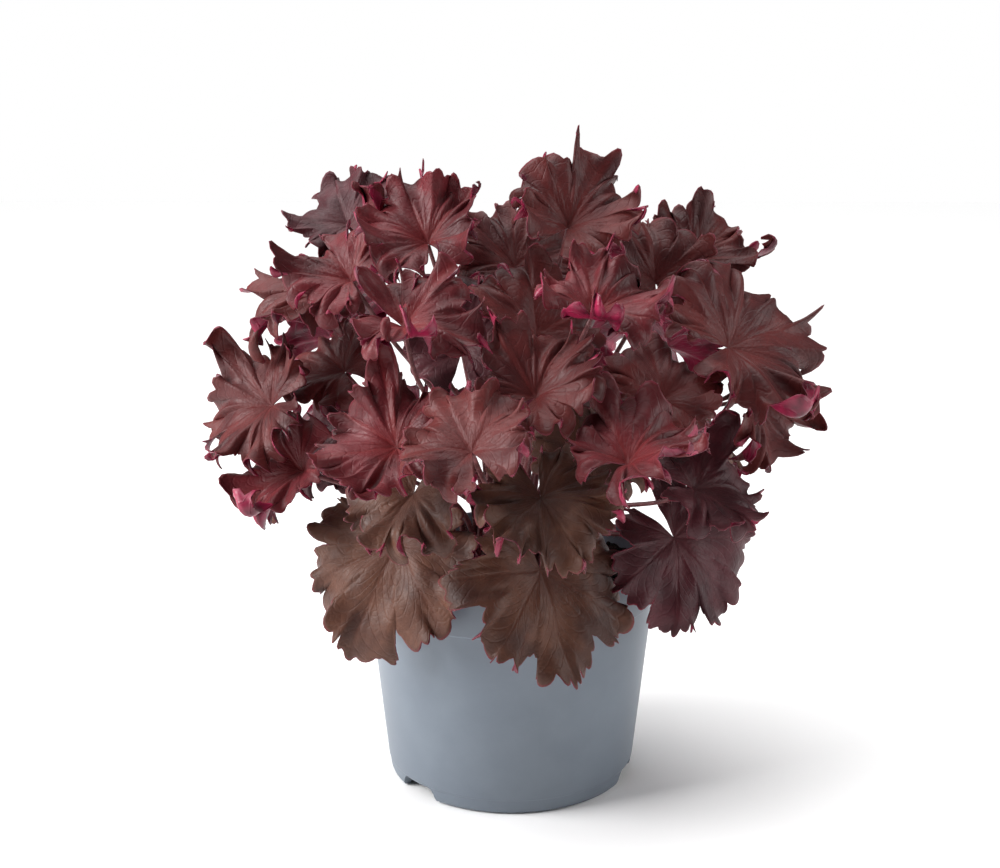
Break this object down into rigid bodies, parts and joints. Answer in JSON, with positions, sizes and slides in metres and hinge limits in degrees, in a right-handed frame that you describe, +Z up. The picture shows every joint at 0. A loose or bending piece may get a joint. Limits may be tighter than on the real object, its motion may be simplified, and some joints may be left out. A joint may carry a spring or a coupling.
{
  "type": "heuchera plant in a nursery pot",
  "caption": "Bushy garden perennial with ruffled, lobed brown-crimson leaves on hairy stalks, rooted in soil in a round tapered plastic pot with drainage notches.",
  "frame": {"origin": "centre of the flat underside of the pot's floor, where the pot stands", "axes": "+Z up, -Y towards the side that the picture shows, +X to the picture's right"},
  "size_m": [0.2678, 0.2414, 0.2828],
  "materials": {
    "pot": "satin",
    "soil": "rough",
    "rootstock": "rough",
    "leaf_bronze": "satin, thin pale hairs",
    "leaf_plum": "satin, thin pale hairs",
    "leaf_brown": "satin, thin pale hairs",
    "leaf_crimson": "satin, crimson margins",
    "leaf_underside": "satin",
    "leaf_stalk": "satin, pale hairs"
  },
  "bodies": {
    "root": {"pot": "pot", "soil": "soil", "rootstock": "rootstock", "leaf_01": "leaf_bronze", "leaf_02": "leaf_bronze", "leaf_03": "leaf_plum", "leaf_04": "leaf_bronze", "leaf_05": "leaf_crimson", "leaf_06": "leaf_brown", "leaf_07": "leaf_brown", "leaf_08": "leaf_crimson", "leaf_09": "leaf_crimson", "leaf_10": "leaf_crimson", "leaf_11": "leaf_brown", "leaf_12": "leaf_brown", "leaf_13": "leaf_brown", "leaf_14": "leaf_brown", "leaf_15": "leaf_crimson", "leaf_16": "leaf_brown", "leaf_17": "leaf_brown", "leaf_18": "leaf_bronze", "leaf_19": "leaf_plum", "leaf_20": "leaf_bronze", "leaf_21": "leaf_brown", "leaf_22": "leaf_brown", "leaf_23": "leaf_crimson", "leaf_24": "leaf_brown", "leaf_25": "leaf_brown", "leaf_26": "leaf_crimson", "leaf_27": "leaf_brown", "leaf_28": "leaf_plum", "leaf_29": "leaf_plum", "leaf_30": "leaf_brown", "leaf_31": "leaf_plum", "leaf_32": "leaf_bronze", "leaf_33": "leaf_bronze", "leaf_34": "leaf_bronze", "leaf_35": "leaf_bronze", "leaf_36": "leaf_bronze", "leaf_37": "leaf_brown", "leaf_38": "leaf_brown", "leaf_39": "leaf_brown", "leaf_40": "leaf_brown", "leaf_41": "leaf_brown", "leaf_42": "leaf_brown"}
  },
  "joints": []
}
